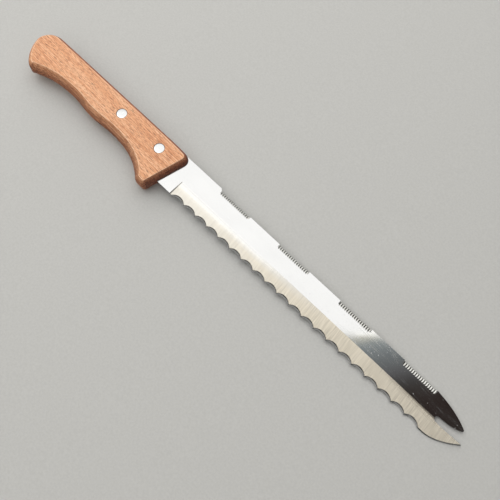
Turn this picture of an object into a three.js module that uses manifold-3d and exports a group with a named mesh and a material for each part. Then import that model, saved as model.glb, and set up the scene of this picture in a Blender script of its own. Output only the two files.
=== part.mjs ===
// Frozen food knife: a scalloped, saw-backed steel blade with a forked tip, riveted into a wooden handle.
// Millimetres, +Z up. The knife lies on its left side. The origin is on the flat underside of the handle,
// midway between the two rivets. +X runs to the tip and +Y to the spine.

import * as THREE from 'three';
import { mergeVertices } from 'three/addons/utils/BufferGeometryUtils.js';
import Module from 'manifold-3d';

const wasm = await Module();
wasm.setup();

// Handle: heights and depths are measured from the line through the rivets
const HANDLE_THICKNESS = 13;
const EDGE_ROUND = 1.6;
const SPINE_HEIGHT = 9.5;
const GUARD_DEPTH = 24.5;
const FINGER_HOLLOW_DEPTH = 11.9;
const PALM_SWELL_DEPTH = 12.95;
const REAR_HOLLOW_DEPTH = 11.15;
const HOOK_DEPTH = 17.9;
const BUTT_RADIUS = 11.4;

// Handle: lengths, each measured from the feature before it, from the front face backwards
const FRONT_LEAN_DEGREES = 12.3;
const FRONT_CORNER = 3.6;
const GUARD_FLAT = 5.8;
const GUARD_CORNER = 2.2;
const FRONT_TO_FINGER_HOLLOW = 47.1;
const FINGER_HOLLOW_TO_SWELL = 18.5;
const SWELL_TO_REAR_HOLLOW = 21;
const REAR_HOLLOW_TO_HOOK = 33.5;
const HOOK_TO_BUTT = 13.2;

// Handle: how far each curve keeps the direction it starts or ends with
const THROAT_START_LEAD = 17;
const THROAT_END_LEAD = 9.5;
const THROAT_STEEPNESS_DEGREES = 41;
const HOLLOW_LEAD = 8;
const HOOK_FRONT_LEAD = 2.5;
const REAR_HOLLOW_LEAD = 22.5;
const HOOK_BACK_LEAD = 4.5;
const BUTT_LEAD = 4.6;

// Rivets: two halves pressed together, heads sunk into the wood
const RIVET_SPACING = 35;
const FRONT_TO_RIVET = 15.6;
const HEAD_DIAMETER = 7;
const HEAD_THICKNESS = 1.4;
const HEAD_SINK = 0.1;
const SOCKET_DIAMETER = 4.2;
const PIN_DIAMETER = 2.4;
const PIN_END_GAP = 0.8;
const PRESS_GAP = 0.15;
const WOOD_GAP = 0.3;

// Blade and its half tang
const BLADE_THICKNESS = 1.5;
const BLADE_WIDTH = 25;
const BLADE_ABOVE_HANDLE = 0.5;
const BLADE_REACH = 234.9;
const TANG_TAIL = 14.5;
const TANG_DEPTH = 6;
const TANG_BELOW_SPINE = 0.2;
const HEEL_INSERT = 5;
const SHOULDER_GAP = 0.3;
const KERF_GAP = 0.3;

// Ground face below the polished face
const GRIND_HEIGHT = 10.7;
const EDGE_THICKNESS = 0.5;
const PLUNGE_BEFORE_SCALLOPS = 1.6;

// Scallops along the edge, each cut by a tilted round stone
const SCALLOP_PITCH = 10;
const SCALLOP_DEPTH = 1.8;
const SCALLOP_TILT_DEGREES = 30;
const HEEL_FLAT_LEAST = 10;

// Saw back: sections ground in turn from the near face and the far face
const SAW_DROP = 1.1;
const SAW_SECTION = 25;
const SAW_BEVEL = 1.6;
const SAW_LAND = 0.25;
const TOOTH_PITCH = 1.5;
const TOOTH_DEPTH = 0.5;
const PLAIN_SPINE_LEAST = 25;

// Forked tip: lengths back from the lower point, rises above the edge line
const LOWER_PRONG_LENGTH = 20.4;
const LOWER_PRONG_CURVE = 21;
const LOWER_PRONG_BELLY = 11.7;
const LOWER_POINT_RISE = 9.7;
const NOTCH_RISE = 11.15;
const NOTCH_WIDTH = 3.5;
const NOTCH_MOUTH_LENGTH = 7.4;
const UPPER_PRONG_LENGTH = 16.5;
const UPPER_POINT_RISE = 16.7;
const UPPER_POINT_BLUNT = 0.6;
const UPPER_PRONG_DROP = 0.3;
const UPPER_BACK_BEND = 9.1;
const UPPER_BACK_FALL = 1.6;
const UPPER_UNDER_BEND = 5.9;
const SCALLOPS_TO_POINT = 24;
const SAW_TO_POINT = 28.5;

// Fineness of round shapes
const CURVE_STEPS = 14;
const ROUND_STEPS = 4;
const RIVET_SIDES = 40;
const STONE_SIDES = 72;
const CUT_MARGIN = 2;

// Places worked out from the sizes above
const radians = THREE.MathUtils.degToRad;
const frontX = RIVET_SPACING / 2 + FRONT_TO_RIVET;
const lean = Math.tan(radians(FRONT_LEAN_DEGREES));
const frontAt = (y) => frontX + y * lean;
const bladeMiddle = HANDLE_THICKNESS / 2;
const faceZ = bladeMiddle + BLADE_THICKNESS / 2;
const backZ = bladeMiddle - BLADE_THICKNESS / 2;
const bladeTop = SPINE_HEIGHT + BLADE_ABOVE_HANDLE;
const edgeY = bladeTop - BLADE_WIDTH;
const pointX = frontX + BLADE_REACH;
const toothLine = bladeTop - SAW_DROP;
const scallopEnd = pointX - SCALLOPS_TO_POINT;
const scallopCount = Math.floor((scallopEnd - frontX - HEEL_FLAT_LEAST) / SCALLOP_PITCH);
const scallopStart = scallopEnd - scallopCount * SCALLOP_PITCH;
const sawEnd = pointX - SAW_TO_POINT;
const sawSections = Math.floor((sawEnd - frontX - PLAIN_SPINE_LEAST) / SAW_SECTION);
const sawStart = sawEnd - sawSections * SAW_SECTION;
const rivetPlaces = { front: RIVET_SPACING / 2, rear: -RIVET_SPACING / 2 };

// Closed geometry as a solid that can be joined and cut
function toSolid(geometry) {
  const bare = geometry.clone();
  bare.deleteAttribute('normal');
  bare.deleteAttribute('uv');
  const merged = mergeVertices(bare);
  const corners = merged.index.array;
  const kept = [];
  for (let i = 0; i < corners.length; i += 3) {
    const [a, b, c] = [corners[i], corners[i + 1], corners[i + 2]];
    if (a !== b && b !== c && c !== a) {
      kept.push(a, b, c);
    }
  }
  return new wasm.Manifold(new wasm.Mesh({
    numProp: 3,
    vertProperties: merged.attributes.position.array,
    triVerts: Uint32Array.from(kept),
  }));
}

function toGeometry(solid) {
  const mesh = solid.getMesh();
  const geometry = new THREE.BufferGeometry();
  geometry.setAttribute('position', new THREE.BufferAttribute(mesh.vertProperties, 3));
  geometry.setIndex(new THREE.BufferAttribute(mesh.triVerts, 1));
  geometry.computeVertexNormals();
  return geometry;
}

function cutAll(solid, cutters) {
  return cutters.reduce((left, cutter) => left.subtract(toSolid(cutter)), solid);
}

// Box between two corners
function block(x0, x1, y0, y1, z0, z1) {
  const box = new THREE.BoxGeometry(x1 - x0, y1 - y0, z1 - z0);
  return box.translate((x0 + x1) / 2, (y0 + y1) / 2, (z0 + z1) / 2);
}

// Prism along X whose section is a list of [y, z] corners
function prismAlongX(corners, x0, x1) {
  const section = new THREE.Shape(corners.map(([y, z]) => new THREE.Vector2(y, z)));
  const prism = new THREE.ExtrudeGeometry(section, { depth: x1 - x0, bevelEnabled: false });
  const turn = new THREE.Matrix4().makeBasis(
    new THREE.Vector3(0, 1, 0),
    new THREE.Vector3(0, 0, 1),
    new THREE.Vector3(1, 0, 0),
  );
  return prism.applyMatrix4(turn).translate(x0, 0, 0);
}

// Upright round piece from a list of [radius, z] corners that starts and ends on its axis
function turned(profile, x) {
  const points = profile.map(([radius, z]) => new THREE.Vector2(radius, z));
  return new THREE.LatheGeometry(points, RIVET_SIDES).rotateX(Math.PI / 2).translate(x, 0, 0);
}

// Handle outline, from the front corner at the spine round the butt and along the belly to the guard
function handleOutline() {
  const guardFrontX = frontAt(-GUARD_DEPTH);
  const guardRearX = guardFrontX - GUARD_FLAT;
  const fingerX = frontX - FRONT_TO_FINGER_HOLLOW;
  const swellX = fingerX - FINGER_HOLLOW_TO_SWELL;
  const rearX = swellX - SWELL_TO_REAR_HOLLOW;
  const hookX = rearX - REAR_HOLLOW_TO_HOOK;
  const buttX = hookX - HOOK_TO_BUTT;
  const steep = radians(THROAT_STEEPNESS_DEGREES);
  const throatX = guardRearX - GUARD_CORNER * Math.cos(steep);
  const throatY = -GUARD_DEPTH + GUARD_CORNER * Math.sin(steep);
  const frontStep = new THREE.Vector2(lean, 1).normalize();

  const outline = new THREE.Shape();
  outline.moveTo(
    frontAt(SPINE_HEIGHT) - FRONT_CORNER * frontStep.x,
    SPINE_HEIGHT - FRONT_CORNER * frontStep.y,
  );
  outline.quadraticCurveTo(
    frontAt(SPINE_HEIGHT), SPINE_HEIGHT,
    frontAt(SPINE_HEIGHT) - FRONT_CORNER, SPINE_HEIGHT,
  );
  outline.lineTo(buttX + BUTT_RADIUS, SPINE_HEIGHT);
  outline.absarc(buttX + BUTT_RADIUS, SPINE_HEIGHT - BUTT_RADIUS, BUTT_RADIUS, Math.PI / 2, Math.PI, false);
  outline.bezierCurveTo(
    buttX, SPINE_HEIGHT - BUTT_RADIUS - BUTT_LEAD,
    hookX - HOOK_BACK_LEAD, -HOOK_DEPTH,
    hookX, -HOOK_DEPTH,
  );
  outline.bezierCurveTo(
    hookX + HOOK_FRONT_LEAD, -HOOK_DEPTH,
    rearX - REAR_HOLLOW_LEAD, -REAR_HOLLOW_DEPTH,
    rearX, -REAR_HOLLOW_DEPTH,
  );
  outline.bezierCurveTo(
    rearX + HOLLOW_LEAD, -REAR_HOLLOW_DEPTH,
    swellX - HOLLOW_LEAD, -PALM_SWELL_DEPTH,
    swellX, -PALM_SWELL_DEPTH,
  );
  outline.bezierCurveTo(
    swellX + HOLLOW_LEAD, -PALM_SWELL_DEPTH,
    fingerX - HOLLOW_LEAD, -FINGER_HOLLOW_DEPTH,
    fingerX, -FINGER_HOLLOW_DEPTH,
  );
  outline.bezierCurveTo(
    fingerX + THROAT_START_LEAD, -FINGER_HOLLOW_DEPTH,
    throatX - THROAT_END_LEAD * Math.cos(steep), throatY + THROAT_END_LEAD * Math.sin(steep),
    throatX, throatY,
  );
  outline.quadraticCurveTo(guardRearX, -GUARD_DEPTH, guardRearX + GUARD_CORNER, -GUARD_DEPTH);
  outline.lineTo(guardFrontX - GUARD_CORNER, -GUARD_DEPTH);
  outline.quadraticCurveTo(
    guardFrontX, -GUARD_DEPTH,
    guardFrontX + GUARD_CORNER * frontStep.x, -GUARD_DEPTH + GUARD_CORNER * frontStep.y,
  );
  return outline;
}

// Wooden handle: rounded slab with a kerf that is open at the front and the spine, and stepped rivet holes
function makeHandle() {
  const slab = new THREE.ExtrudeGeometry(handleOutline(), {
    depth: HANDLE_THICKNESS - 2 * EDGE_ROUND,
    curveSegments: CURVE_STEPS,
    bevelThickness: EDGE_ROUND,
    bevelSize: EDGE_ROUND,
    bevelOffset: -EDGE_ROUND,
    bevelSegments: ROUND_STEPS,
  });
  slab.translate(0, 0, EDGE_ROUND);

  const kerfBottom = backZ - KERF_GAP;
  const kerfTop = faceZ + KERF_GAP;
  const pastFront = frontAt(bladeTop) + CUT_MARGIN;
  const pastSpine = bladeTop + CUT_MARGIN;
  const tangEnd = rivetPlaces.rear - TANG_TAIL - KERF_GAP;
  const heelPocket = frontAt(edgeY) - HEEL_INSERT - KERF_GAP;
  const cutters = [
    block(tangEnd, pastFront, -TANG_DEPTH - KERF_GAP, pastSpine, kerfBottom, kerfTop),
    block(heelPocket, pastFront, edgeY - KERF_GAP, pastSpine, kerfBottom, kerfTop),
  ];

  const holeRadius = SOCKET_DIAMETER / 2 + WOOD_GAP;
  const seatRadius = HEAD_DIAMETER / 2 + WOOD_GAP;
  const seatDepth = HEAD_SINK + HEAD_THICKNESS + WOOD_GAP;
  for (const x of Object.values(rivetPlaces)) {
    cutters.push(turned([
      [0, -CUT_MARGIN],
      [seatRadius, -CUT_MARGIN],
      [seatRadius, seatDepth],
      [holeRadius, seatDepth],
      [holeRadius, HANDLE_THICKNESS - seatDepth],
      [seatRadius, HANDLE_THICKNESS - seatDepth],
      [seatRadius, HANDLE_THICKNESS + CUT_MARGIN],
      [0, HANDLE_THICKNESS + CUT_MARGIN],
    ], x));
  }
  return toGeometry(cutAll(toSolid(slab), cutters));
}

// Blade outline with its tang, before grinding: up the tang, along the spine, round the fork and back
function bladeOutline() {
  const tangEnd = rivetPlaces.rear - TANG_TAIL;
  const tangTop = SPINE_HEIGHT - TANG_BELOW_SPINE;
  const shoulder = frontAt(bladeTop) + SHOULDER_GAP;
  const heel = frontAt(edgeY) - HEEL_INSERT;
  const notchX = pointX - LOWER_PRONG_LENGTH;
  const notchY = edgeY + NOTCH_RISE;
  const notchHalf = NOTCH_WIDTH / 2;
  const notchCentre = notchX + notchHalf;
  const mouthX = notchX + NOTCH_MOUTH_LENGTH;
  const upperX = notchX + UPPER_PRONG_LENGTH;
  const upperY = edgeY + UPPER_POINT_RISE;
  const prongTop = toothLine - UPPER_PRONG_DROP;
  const lowerY = edgeY + LOWER_POINT_RISE;

  const outline = new THREE.Shape();
  outline.moveTo(tangEnd, -TANG_DEPTH);
  outline.lineTo(heel, -TANG_DEPTH);
  outline.lineTo(heel, edgeY);
  outline.lineTo(pointX - LOWER_PRONG_CURVE, edgeY);
  outline.quadraticCurveTo(pointX - LOWER_PRONG_BELLY, edgeY, pointX, lowerY);
  outline.lineTo(mouthX, notchY - notchHalf);
  outline.lineTo(notchCentre, notchY - notchHalf);
  outline.absarc(notchCentre, notchY, notchHalf, -Math.PI / 2, Math.PI / 2, true);
  outline.quadraticCurveTo(
    upperX - UPPER_UNDER_BEND, notchY + notchHalf,
    upperX, upperY - UPPER_POINT_BLUNT,
  );
  outline.lineTo(upperX, upperY);
  outline.quadraticCurveTo(upperX - UPPER_BACK_BEND, prongTop - UPPER_BACK_FALL, sawEnd, prongTop);
  outline.lineTo(sawEnd, toothLine);
  outline.lineTo(sawStart, toothLine);
  outline.lineTo(sawStart - SAW_DROP, bladeTop);
  outline.lineTo(shoulder, bladeTop);
  outline.lineTo(shoulder, tangTop);
  outline.lineTo(tangEnd, tangTop);
  return outline;
}

// Wedge that grinds the near face thinner towards the edge, from the plunge line to the tip
function grindWedge() {
  const grindLine = edgeY + GRIND_HEIGHT;
  const slope = (BLADE_THICKNESS - EDGE_THICKNESS) / GRIND_HEIGHT;
  const past = edgeY - CUT_MARGIN;
  return prismAlongX([
    [grindLine, faceZ],
    [grindLine, faceZ + CUT_MARGIN],
    [past, faceZ + CUT_MARGIN],
    [past, faceZ - slope * (grindLine - past)],
  ], scallopStart - PLUNGE_BEFORE_SCALLOPS, pointX + CUT_MARGIN);
}

// Round stone, tilted so that it leaves a narrow hollow facet along one scallop
function scallopStone(x) {
  const tilt = radians(SCALLOP_TILT_DEGREES);
  const half = SCALLOP_PITCH / 2;
  const rise = SCALLOP_DEPTH * Math.sin(tilt);
  const radius = (half * half + rise * rise) / (2 * rise);
  const reach = 4 * BLADE_THICKNESS / Math.sin(tilt);
  const stone = new THREE.CylinderGeometry(radius, radius, reach, STONE_SIDES);
  stone.rotateY(Math.PI / STONE_SIDES);
  stone.rotateX(tilt);
  return stone.translate(
    x,
    edgeY + SCALLOP_DEPTH - radius * Math.sin(tilt),
    backZ + radius * Math.cos(tilt),
  );
}

// Bevel and tooth grooves of one saw section, side 1 for the near face and -1 for the far face
function sawSectionCutters(x0, side) {
  const surface = bladeMiddle + side * BLADE_THICKNESS / 2;
  const bevelDepth = BLADE_THICKNESS - SAW_LAND;
  const slope = bevelDepth / SAW_BEVEL;
  const angle = Math.atan(slope);
  const outside = surface + side * CUT_MARGIN;
  const cutters = [prismAlongX([
    [toothLine - SAW_BEVEL, surface],
    [toothLine - SAW_BEVEL, outside],
    [toothLine + CUT_MARGIN, outside],
    [toothLine + CUT_MARGIN, surface - side * slope * (SAW_BEVEL + CUT_MARGIN)],
  ], x0, x0 + SAW_SECTION)];

  const grooves = Math.floor(SAW_SECTION / TOOTH_PITCH);
  const firstGroove = x0 + (SAW_SECTION - (grooves - 1) * TOOTH_PITCH) / 2;
  const reach = 2 * (SAW_BEVEL + BLADE_THICKNESS);
  const flare = (TOOTH_PITCH / 2) * (TOOTH_DEPTH + CUT_MARGIN) / TOOTH_DEPTH;
  const vee = new THREE.Shape([
    new THREE.Vector2(0, -TOOTH_DEPTH),
    new THREE.Vector2(flare, CUT_MARGIN),
    new THREE.Vector2(-flare, CUT_MARGIN),
  ]);
  const turn = new THREE.Matrix4().makeBasis(
    new THREE.Vector3(1, 0, 0),
    new THREE.Vector3(0, Math.sin(angle), side * Math.cos(angle)),
    new THREE.Vector3(0, -side * Math.cos(angle), Math.sin(angle)),
  );
  for (let i = 0; i < grooves; i += 1) {
    const groove = new THREE.ExtrudeGeometry(vee, { depth: reach, bevelEnabled: false });
    groove.translate(0, 0, -reach / 2).applyMatrix4(turn);
    groove.translate(
      firstGroove + i * TOOTH_PITCH,
      toothLine - SAW_BEVEL / 2,
      surface - side * bevelDepth / 2,
    );
    cutters.push(groove);
  }
  return cutters;
}

// Blade: stamped outline, rivet holes, ground face, scallops and saw back
function makeBlade() {
  const strip = new THREE.ExtrudeGeometry(bladeOutline(), {
    depth: BLADE_THICKNESS,
    curveSegments: CURVE_STEPS,
    bevelEnabled: false,
  });
  strip.translate(0, 0, backZ);

  const holeRadius = SOCKET_DIAMETER / 2 + WOOD_GAP;
  const cutters = Object.values(rivetPlaces).map((x) => turned([
    [0, backZ - CUT_MARGIN],
    [holeRadius, backZ - CUT_MARGIN],
    [holeRadius, faceZ + CUT_MARGIN],
    [0, faceZ + CUT_MARGIN],
  ], x));
  cutters.push(grindWedge());
  for (let i = 0; i < scallopCount; i += 1) {
    cutters.push(scallopStone(scallopStart + (i + 0.5) * SCALLOP_PITCH));
  }
  for (let i = 0; i < sawSections; i += 1) {
    cutters.push(...sawSectionCutters(sawStart + i * SAW_SECTION, i % 2 === 0 ? 1 : -1));
  }
  return toGeometry(cutAll(toSolid(strip), cutters));
}

// Socket half of a rivet: head at the underside and a tube with a blind bore
function makeRivetSocket(x) {
  const headRadius = HEAD_DIAMETER / 2;
  const tubeRadius = SOCKET_DIAMETER / 2;
  const boreRadius = PIN_DIAMETER / 2 + PRESS_GAP;
  const headTop = HEAD_SINK + HEAD_THICKNESS;
  const tubeTop = HANDLE_THICKNESS - HEAD_SINK - HEAD_THICKNESS - PRESS_GAP;
  return toGeometry(toSolid(turned([
    [0, HEAD_SINK],
    [headRadius, HEAD_SINK],
    [headRadius, headTop],
    [tubeRadius, headTop],
    [tubeRadius, tubeTop],
    [boreRadius, tubeTop],
    [boreRadius, headTop],
    [0, headTop],
  ], x)));
}

// Pin half of a rivet: head at the near face and a pin that fills the socket's bore
function makeRivetPin(x) {
  const headRadius = HEAD_DIAMETER / 2;
  const pinRadius = PIN_DIAMETER / 2;
  const headTop = HANDLE_THICKNESS - HEAD_SINK;
  const headBottom = headTop - HEAD_THICKNESS;
  return toGeometry(toSolid(turned([
    [0, HEAD_SINK + HEAD_THICKNESS + PIN_END_GAP],
    [pinRadius, HEAD_SINK + HEAD_THICKNESS + PIN_END_GAP],
    [pinRadius, headBottom],
    [headRadius, headBottom],
    [headRadius, headTop],
    [0, headTop],
  ], x)));
}

// Named piece with its own material
function piece(name, geometry, color, roughness, metalness) {
  const material = new THREE.MeshStandardMaterial({ color, roughness, metalness });
  const mesh = new THREE.Mesh(geometry, material);
  mesh.name = name;
  return mesh;
}

const knife = new THREE.Group();
knife.add(piece('blade', makeBlade(), 0xd4d6d8, 0.12, 1));
knife.add(piece('handle', makeHandle(), 0xc08457, 0.55, 0));
for (const [place, x] of Object.entries(rivetPlaces)) {
  knife.add(piece(`rivet_${place}_socket`, makeRivetSocket(x), 0xe2e2e0, 0.25, 1));
  knife.add(piece(`rivet_${place}_pin`, makeRivetPin(x), 0xe2e2e0, 0.25, 1));
}

export default knife;
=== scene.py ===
import math
from collections import namedtuple

import bmesh
import bpy
from mathutils import Matrix, Vector
from mathutils.kdtree import KDTree


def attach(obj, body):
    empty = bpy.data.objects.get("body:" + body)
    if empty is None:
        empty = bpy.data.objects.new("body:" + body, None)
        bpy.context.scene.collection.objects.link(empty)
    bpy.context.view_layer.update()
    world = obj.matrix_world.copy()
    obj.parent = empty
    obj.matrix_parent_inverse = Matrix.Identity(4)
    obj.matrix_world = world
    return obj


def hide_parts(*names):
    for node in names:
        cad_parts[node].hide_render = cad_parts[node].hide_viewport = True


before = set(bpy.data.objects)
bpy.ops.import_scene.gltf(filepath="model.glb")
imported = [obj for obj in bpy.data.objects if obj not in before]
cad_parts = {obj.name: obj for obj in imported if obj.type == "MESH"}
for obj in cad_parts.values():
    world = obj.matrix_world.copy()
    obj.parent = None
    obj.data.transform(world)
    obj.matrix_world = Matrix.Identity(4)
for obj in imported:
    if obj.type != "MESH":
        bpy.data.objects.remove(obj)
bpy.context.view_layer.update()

# Frozen food knife. Shapes are worked out in millimetres and scaled to metres when a piece is finished.
# +X runs to the tip, +Y to the spine and +Z up. The origin is under the handle, midway between the rivets.

MM = 0.001

# Handle outline: points are (x, y), with y measured from the line through the rivets
HANDLE_THICKNESS = 13.0
SPINE_HEIGHT = 10.0
FRONT_X = 34.15
FRONT_LEAN = math.tan(math.radians(13.5))
FRONT_CORNER = 6.4
BUTT_X = -100.2
BUTT_RADIUS = 11.9
HOOK = (-87.0, -18.6)
REAR_HOLLOW = (-53.5, -12.05)
SWELL = (-32.5, -13.85)
FINGER_HOLLOW = (-14.0, -12.8)
THROAT = (19.4, -23.4)
GUARD_DEPTH = 24.5
GUARD_BEND_X = 20.7
GUARD_FLAT_START = 23.0
GUARD_FLAT_STEP = 0.9
GUARD_FLAT_END = 25.6
GUARD_CORNER = 2.4

# Handle outline: how far each curve keeps the direction it starts or ends with
BUTT_LEAD = 5.6
HOOK_BACK_LEAD = 6.0
HOOK_FRONT_LEAD = 4.7
REAR_HOLLOW_LEAD = 22.5
SWELL_LEAD = 8.0
FINGER_LEAD = 17.0
THROAT_LEAD_X = 7.2
THROAT_LEAD_Y = 6.2

# Handle outline: number of points on each stretch
CORNER_STEPS = 14
SPINE_STEPS = 60
CURVE_STEPS = 36
LONG_CURVE_STEPS = 60
GUARD_STEPS = 10
FRONT_STEPS = 24

# Handle sides: how far in and how deep each one curves, and how straight it is, from 0 for an arc to 1
Side = namedtuple("Side", "width depth straight")
FRONT_SIDE = Side(width=2.2, depth=6.2, straight=0.0)
TOP_CORNER_SIDE = Side(width=2.4, depth=5.6, straight=0.0)
SPINE_SIDE = Side(width=1.95, depth=3.0, straight=0.0)
BUTT_TOP_SIDE = Side(width=1.7, depth=3.2, straight=0.0)
BUTT_SIDE = Side(width=1.6, depth=3.5, straight=0.0)
HOOK_SIDE = Side(width=2.7, depth=3.8, straight=0.3)
BELLY_END_SIDE = Side(width=3.7, depth=6.4, straight=0.6)
BELLY_SIDE = Side(width=3.8, depth=6.4, straight=0.6)
GUARD_SIDE = Side(width=2.8, depth=5.6, straight=0.3)
GUARD_FLAT_SIDE = Side(width=2.2, depth=5.6, straight=0.0)
GUARD_CORNER_SIDE = Side(width=2.0, depth=5.6, straight=0.0)
STRAIGHT_POWER = 1.3
SIDE_ROWS = 8
SIDE_SMOOTHING = 14
EDGE_ROW = 0.06
WORN_WIDTH = 0.35
WORN_REACH = 0.01

# Blade and its half tang
BLADE_THICKNESS = 1.5
BLADE_TOP = 10.0
EDGE_Y = -15.0
FACE_Z = (HANDLE_THICKNESS + BLADE_THICKNESS) / 2
BACK_Z = (HANDLE_THICKNESS - BLADE_THICKNESS) / 2
POINT_X = 268.0
HEEL_INSERT = 5.0
SHOULDER_INSERT = FRONT_CORNER * 0.85
TANG_END = -32.0
TANG_DEPTH = 6.0
TANG_TOP = 9.3
KERF_GAP = 0.12
KERF_FRONT = 45.0
KERF_TOP = 15.0

# Ground face below the polished face
GRIND_LINE = -4.3
GRIND_POWER = 1.5
GRIND_STEPS = 14
EDGE_THICKNESS = 0.4

# Scallops along the edge, each with a narrow facet
SCALLOP_START = 44.0
SCALLOP_PITCH = 10.0
SCALLOP_DEPTH = 1.8
SCALLOP_OVERLAP = 0.1
SCALLOP_COUNT = 20
SCALLOP_GROUPS = 3
SCALLOP_EDGE = 0.05
FACET_SLOPE = math.tan(math.radians(26))
FACET_WIDTH = 0.55
FACET_START = 0.6
STONE_RISE = 3.0
STONE_SIDES = 240
PLUNGE_X = SCALLOP_START - 1.9
PLUNGE_LAG = 0.15

# Saw back: sections ground in turn from the near face and the far face
NEAR_SIDE = 1
FAR_SIDE = -1
SAW_START = 64.5
SAW_SECTION = 25.0
SAW_SECTIONS = 7
SAW_END = SAW_START + SAW_SECTION * SAW_SECTIONS
SAW_BEVEL_FIRST = 1.8
SAW_BEVEL_STEP = 0.12
SAW_SLOPE = math.tan(math.radians(20))
TOOTH_LINE = 8.9
TOOTH_PITCH = 1.5
TOOTH_DEPTH = 0.3
TOOTH_TIP = 0.45
TIP_SLOPE = math.tan(math.radians(60))
GROOVE_BOTTOM = 0.08
GROOVE_REACH = TOOTH_PITCH * 0.75
GROOVE_TOP = 2.5
GROOVE_BACK = 4.0
GROOVE_FRONT = 1.4

# Forked tip: points are (x, y), from the edge round the lower prong and the notch to the upper prong
LOWER_START = (247.0, EDGE_Y)
LOWER_BEND = (256.3, EDGE_Y)
LOWER_END = (267.85, -5.42)
LOWER_POINT = (267.97, -5.32)
LOWER_BACK_START = (267.85, -5.25)
LOWER_BACK_END = (256.5, -5.62)
NOTCH_MOUTH_BEND = (252.5, -5.72)
NOTCH_MOUTH_END = (249.9, -5.5)
NOTCH_CENTRE = (249.35, -3.85)
NOTCH_RADIUS = 1.75
NOTCH_FROM_DEGREES = -72
NOTCH_TO_DEGREES = -270
UPPER_BEND = (258.2, -2.1)
UPPER_END = (263.5, 0.75)
UPPER_POINT_BEND = (264.35, 1.25)
UPPER_POINT_END = (263.85, 1.95)
UPPER_BACK_BEND = (255.0, 7.0)
UPPER_BACK_END = (SAW_END + 0.4, 8.55)
SAW_END_CORNER = (SAW_END + 0.1, 8.62)
SAW_ENTRY = (SAW_START + 0.3, TOOTH_LINE)
SAW_ENTRY_BEND = (SAW_START - 0.8, TOOTH_LINE)
SAW_ENTRY_TOP = (SAW_START - 1.3, BLADE_TOP)
LOWER_STEPS = 40
MOUTH_STEPS = 8
NOTCH_STEPS = 30
UPPER_STEPS = 24
POINT_STEPS = 6
UPPER_BACK_STEPS = 32
ENTRY_STEPS = 6

# Facet along the curved edge of the lower prong
PRONG_FACET = 0.55
PRONG_EDGE = 0.08
PRONG_FACET_START = (244.0, EDGE_Y)
PRONG_FACET_END = (268.1, -5.2)
PRONG_STEPS = 30
PRONG_REACH = 3.0

# Rivets: a pin pressed into a socket, with heads sunk into the wood
RIVETS = {"front": 17.5, "rear": -17.5}
HEAD_RADIUS = 3.5
HEAD_THICKNESS = 1.4
HEAD_SINK = 0.1
HEAD_RIM = 0.35
HEAD_DOME = 0.05
CROWN_RADIUS = 1.6
CROWN_DROP = 0.01
RIM_STEPS = 4
SEAT_GAP = 0.06
SEAT_DEPTH_GAP = 0.05
SOCKET_RADIUS = 2.1
SOCKET_GAP = 0.2
PIN_RADIUS = 1.2
BORE_GAP = 0.1
PRESS_GAP = 0.15
PIN_END_GAP = 0.8
ROUND_SIDES = 96

# How far cutting shapes stand past what they cut
CUT_MARGIN = 2.0
CUT_RISE = 1.0
CUT_PAST_POINT = 4.0

# Cleaning and shading
WELD_DISTANCE = 0.001
BLADE_SHARP_DEGREES = 3
HANDLE_SHARP_DEGREES = 25
RIVET_SHARP_DEGREES = 30


# Curves as lists of points, without their first point
def quadratic(start, bend, end, steps):
    points = []
    for i in range(1, steps + 1):
        t = i / steps
        weights = ((1 - t) ** 2, 2 * t * (1 - t), t * t)
        points.append(weighted_point(weights, (start, bend, end)))
    return points


def cubic(start, lead, trail, end, steps):
    points = []
    for i in range(1, steps + 1):
        t = i / steps
        weights = ((1 - t) ** 3, 3 * t * (1 - t) ** 2, 3 * t * t * (1 - t), t ** 3)
        points.append(weighted_point(weights, (start, lead, trail, end)))
    return points


def weighted_point(weights, corners):
    return tuple(sum(weight * corner[k] for weight, corner in zip(weights, corners)) for k in range(2))


def arc(centre, radius, start_degrees, end_degrees, steps):
    points = []
    for i in range(1, steps + 1):
        angle = math.radians(start_degrees + (end_degrees - start_degrees) * i / steps)
        points.append((centre[0] + radius * math.cos(angle), centre[1] + radius * math.sin(angle)))
    return points


def beside(point, distance):
    return point[0] + distance, point[1]


# Place of the leaning front face of the handle at a height
def front_at(y):
    return FRONT_X + y * FRONT_LEAN


# Closed meshes as (points, faces)
def prism(outline, z0, z1):
    count = len(outline)
    points = [(x, y, z0) for x, y in outline] + [(x, y, z1) for x, y in outline]
    faces = [tuple(reversed(range(count))), tuple(range(count, 2 * count))]
    for i in range(count):
        j = (i + 1) % count
        faces.append((i, j, count + j, count + i))
    return points, faces


def sweep(sections):
    count = len(sections[0])
    points = [point for section in sections for point in section]
    faces = [tuple(reversed(range(count)))]
    for s in range(len(sections) - 1):
        for i in range(count):
            j = (i + 1) % count
            a = s * count
            b = a + count
            faces.append((a + i, a + j, b + j, b + i))
    faces.append(tuple(range((len(sections) - 1) * count, len(sections) * count)))
    return points, faces


def block(x0, x1, y0, y1, z0, z1):
    return prism([(x0, y0), (x1, y0), (x1, y1), (x0, y1)], z0, z1)


# Upright round body from a list of (radius, z) that starts and ends on its axis
def turned(profile, x):
    rings = profile[1:-1]
    points = [(x, 0.0, profile[0][1])]
    for radius, z in rings:
        for k in range(ROUND_SIDES):
            angle = 2 * math.pi * k / ROUND_SIDES
            points.append((x + radius * math.cos(angle), radius * math.sin(angle), z))
    points.append((x, 0.0, profile[-1][1]))
    last = len(points) - 1
    top = 1 + (len(rings) - 1) * ROUND_SIDES
    faces = []
    for k in range(ROUND_SIDES):
        n = (k + 1) % ROUND_SIDES
        faces.append((0, 1 + n, 1 + k))
        for r in range(len(rings) - 1):
            a = 1 + r * ROUND_SIDES
            b = a + ROUND_SIDES
            faces.append((a + k, a + n, b + n, b + k))
        faces.append((top + k, top + n, last))
    return points, faces


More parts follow.
